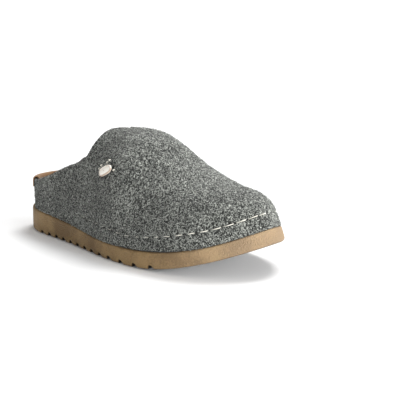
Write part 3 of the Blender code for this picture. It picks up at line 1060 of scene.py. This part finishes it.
def make_sole(material):
    """The side wall is a band wrapped round the outline; the tread and the top are sheets laid across."""
    centres = groove_centres()
    side = sole_stations(centres)
    turns = [-turn for turn in reversed(side)] + side[1:]
    sections = [sole_section(turn, centres) for turn in turns]
    rows = len(sections[0]) - 1
    columns = len(turns) - 1
    middle = len(side) - 1
    mesh = bmesh.new()
    shade = mesh.verts.layers.float.new("groove")

    # Painted shade in the grooves, row by row from the underside up; between grooves only the lowest edge
    # has it, as a painted contact shadow
    in_groove = (1.0, 1.0, 0.7, 0.25)
    between = (1.0, 0.6, 0.0, 0.0)
    band = bmesh.ops.create_grid(mesh, x_segments=columns, y_segments=rows, size=0.5)["verts"]
    for vert in band:
        column, row = round((vert.co.x + 0.5) * columns), round((vert.co.y + 0.5) * rows)
        vert.co = sections[column][row]
        if row < len(between):
            cut = fade(groove_lift(vert.co.x, centres) / GROOVE_DEPTH / 0.15)
            vert[shade] = between[row] + (in_groove[row] - between[row]) * cut
    for row in (0, rows):
        sheet = bmesh.ops.create_grid(mesh, x_segments=middle, y_segments=PLATE_ROWS, size=0.5)["verts"]
        for vert in sheet:
            column, share = round((vert.co.x + 0.5) * middle), vert.co.y + 0.5
            outer, inner = sections[middle - column][row], sections[middle + column][row]
            vert.co = outer.lerp(inner, share)
            if row == 0:
                vert.co.z = sole_bottom(vert.co.x) + groove_lift(vert.co.x, centres)
                # Painted shade over the whole underside
                vert[shade] = 1.0
    bmesh.ops.translate(mesh, verts=mesh.verts, vec=-MIDDLE)
    merged(mesh)
    bmesh.ops.recalc_face_normals(mesh, faces=mesh.faces)
    return finished("rubber_sole", mesh, material, "outsole", sharp=50)


def softened(name, node, material, levels):
    """A copy of a solid, its triangles joined to quads and its corners softened by subdivision."""
    mesh = bmesh.new()
    mesh.from_mesh(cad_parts[node].data)
    merged(mesh)
    bmesh.ops.join_triangles(
        mesh,
        faces=mesh.faces,
        angle_face_threshold=math.radians(50),
        angle_shape_threshold=math.radians(60),
    )
    piece = finished(name, mesh, material, node)
    soften = piece.modifiers.new("soften", "SUBSURF")
    soften.levels = soften.render_levels = levels
    return piece


# Badge


def badge_frame():
    """Place, long way, short way and outward way of the badge on the felt, with its turn and climb."""
    turn = -turn_of(BADGE_PLACE)
    rib = Rib(turn)
    climb = rib.climb_to(sole_top(BADGE_PLACE * SOLE_LENGTH) + BADGE_HEIGHT)
    normal = rib.normal(climb)
    level = Vector((0, 0, 1)).cross(normal).normalized()
    tilt = math.radians(BADGE_TILT)
    long_way = level * math.cos(tilt) + normal.cross(level) * math.sin(tilt)
    return rib.point(climb) - MIDDLE, long_way, normal.cross(long_way), normal, turn, climb


def badge_reach(badge, place):
    """0 at the middle of the badge, 1 at its edge and more outside it."""
    middle, long_way, short_way, normal = badge[:4]
    off = place - middle
    if abs(off.dot(normal)) > 0.012:
        return 9.0
    across = abs(off.dot(long_way)) * 2 / BADGE_LENGTH
    up = abs(off.dot(short_way)) * 2 / BADGE_WIDTH
    return (across**BADGE_SQUARENESS + up**BADGE_SQUARENESS) ** (1 / BADGE_SQUARENESS)


def on_felt(badge, across, up, lift):
    """A point lying on the felt near the badge, found by stepping to the felt's nearest place."""
    place, long_way, short_way, _, turn, climb = badge
    point, step = place + MIDDLE + long_way * across + short_way * up, 0.001
    for _ in range(4):
        face = Rib(turn).point(climb)
        run = (Rib(turn + step).point(climb) - face) / step
        rise = (Rib(turn).point(climb + step) - face) / step
        off = point - face
        area = run.dot(run) * rise.dot(rise) - run.dot(rise) ** 2
        turn += (rise.dot(rise) * off.dot(run) - run.dot(rise) * off.dot(rise)) / area
        climb += (run.dot(run) * off.dot(rise) - run.dot(rise) * off.dot(run)) / area
    rib = Rib(turn)
    return rib.point(climb) + rib.normal(climb) * lift - MIDDLE


def make_badge(enamel, thread):
    """A plain domed badge with a raised lip, bent to the felt, and the thread ends that hold it."""
    badge = badge_frame()
    mesh = bmesh.new()
    bmesh.ops.create_circle(mesh, cap_ends=True, segments=64, radius=1)
    worn = mesh.verts.layers.float.new("worn")
    for vert in mesh.verts:
        reach = abs(vert.co.x) ** BADGE_SQUARENESS + abs(vert.co.y) ** BADGE_SQUARENESS
        vert.co /= reach ** (1 / BADGE_SQUARENESS)
    bmesh.ops.scale(mesh, vec=(BADGE_LENGTH / 2, BADGE_WIDTH / 2, 1), verts=mesh.verts)
    base = mesh.faces[:]
    # Inset and rise of each step from the edge in: wall, rolled lip, groove inside it, domed middle
    steps = [
        (0.0000, 0.0009),
        (0.0003, 0.0004),
        (0.0003, 0.0001),
        (0.0003, -0.0002),
        (0.0003, -0.0003),
        (0.0004, 0.0001),
        (0.0007, 0.0003),
        (0.0009, 0.0001),
    ]
    for number, (inset, rise) in enumerate(steps):
        if number == 0:
            made = bmesh.ops.extrude_face_region(mesh, geom=base)["geom"]
            top = [item for item in made if isinstance(item, bmesh.types.BMFace)]
        else:
            bmesh.ops.inset_region(mesh, faces=top, thickness=inset, use_even_offset=True)
        corners = list({vert for face in top for vert in face.verts})
        bmesh.ops.translate(mesh, vec=(0, 0, rise), verts=corners)
        for vert in corners:
            lower = fade(-vert.co.y / BADGE_WIDTH * 4 + vert.co.x / BADGE_LENGTH)
            vert[worn] = (1.3 * lower, 1.5 * lower, 0.5 * lower, 0.6, 0.4, 0.0, 0.0, 0.0)[number]
    for _ in range(3):
        bmesh.ops.inset_individual(mesh, faces=[face for face in base if face.is_valid], thickness=0.001)
    bmesh.ops.recalc_face_normals(mesh, faces=mesh.faces)
    for vert in mesh.verts:
        vert.co = on_felt(badge, vert.co.x, vert.co.y, vert.co.z + CLEARANCE)
    finished("ivory_badge", mesh, enamel, "badge", sharp=60)

    # Thread ends: place as shares of the badge's half length and half width, and which way each lies
    ends = [(-0.98, 1.25, 40), (-0.63, 1.68, 45), (0.38, 1.65, 20), (0.77, 1.94, 20), (1.31, -0.80, 37)]
    curve = thread_curve("badge_thread", KNOT_RADIUS)
    for across, up, angle in ends:
        spline = curve.splines.new("POLY")
        spline.points.add(6)
        for index in range(7):
            along = KNOT_LENGTH * (index / 6 - 0.5)
            right = across * BADGE_LENGTH / 2 + along * math.cos(math.radians(angle))
            above = up * BADGE_WIDTH / 2 + along * math.sin(math.radians(angle))
            lift = KNOT_LIFT * math.sin(math.pi * index / 6) - KNOT_DIVE
            point = on_felt(badge, right, above, lift)
            spline.points[index].co = (*point, 1.0)
    thread_piece(curve, thread)


# Studio


def aimed(obj, place, target):
    obj.location = place
    obj.rotation_euler = (Vector(target) - Vector(place)).to_track_quat("-Z", "Y").to_euler()
    bpy.context.scene.collection.objects.link(obj)
    return obj


def add_sun(name, strength, angle, place):
    sun = bpy.data.lights.new(name, "SUN")
    sun.energy = strength
    sun.angle = math.radians(angle)
    aimed(bpy.data.objects.new(name, sun), place, (0, 0, 0))


def make_studio():
    """White card under the shoe in an even white room, two wide low lamps off the toe and one high up."""
    scene = bpy.context.scene
    scene.view_settings.view_transform = "Standard"
    mesh = bmesh.new()
    bmesh.ops.create_grid(mesh, x_segments=1, y_segments=1, size=CARD_SIZE)
    data = bpy.data.meshes.new("white_card")
    mesh.to_mesh(data)
    mesh.free()
    data.materials.append(white_card())
    card = bpy.data.objects.new("white_card", data)
    scene.collection.objects.link(card)

    room = bpy.data.worlds.new("white_room")
    room.use_nodes = True
    room.node_tree.nodes["Background"].inputs["Color"].default_value = (1, 1, 1, 1)
    room.node_tree.nodes["Background"].inputs["Strength"].default_value = ROOM_LIGHT
    scene.world = room
    for lamp in LAMPS:
        add_sun(*lamp)


def make_camera():
    """A long lens, low and off the toe, with the shoe left of the middle as in the photograph."""
    azimuth, elevation, distance = math.radians(43.4), math.radians(12.6), 0.80
    target = Vector((-0.0013, 0.0033, 0.0413))
    back = Vector(
        (
            math.sin(azimuth) * math.cos(elevation),
            -math.cos(azimuth) * math.cos(elevation),
            math.sin(elevation),
        )
    )
    lens = bpy.data.cameras.new("camera")
    lens.sensor_width = 36.0
    lens.lens = 81.7
    lens.shift_x = 0.1405
    lens.shift_y = 0.00125
    camera = bpy.data.objects.new("camera", lens)
    bpy.context.scene.camera = aimed(camera, target + back * distance, target)


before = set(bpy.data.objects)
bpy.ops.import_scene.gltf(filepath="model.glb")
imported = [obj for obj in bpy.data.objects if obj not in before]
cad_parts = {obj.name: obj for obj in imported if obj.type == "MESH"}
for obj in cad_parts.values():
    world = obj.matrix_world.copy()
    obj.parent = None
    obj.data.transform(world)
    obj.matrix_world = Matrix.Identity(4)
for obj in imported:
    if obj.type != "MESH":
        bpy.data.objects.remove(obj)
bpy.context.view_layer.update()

make_camera()
make_studio()
felt = boiled_wool_felt()
thread = waxed_thread()
stitch_rows = stitches()
shell = make_felt_shell(stitch_rows, felt)
make_thread(stitch_rows, thread)
for tone, colour, density, length, thickness, seed in NAPS:
    make_nap("nap_" + tone, shell, wool_fibre(tone + "_wool", colour), density, length, thickness, seed)
make_sole(tan_sole_rubber())
softened(
    "suede_footbed",
    "footbed",
    brushed_leather("tan_suede", "#8d6b4c", "#b08c69", 0.0009, 0.0003),
    2,
)
softened(
    "heel_leather",
    "heel_lining",
    brushed_leather("tan_nubuck", "#7a5b3e", "#9a7652", 0.0006, 0.00015),
    2,
)
make_badge(ivory_enamel(), thread)
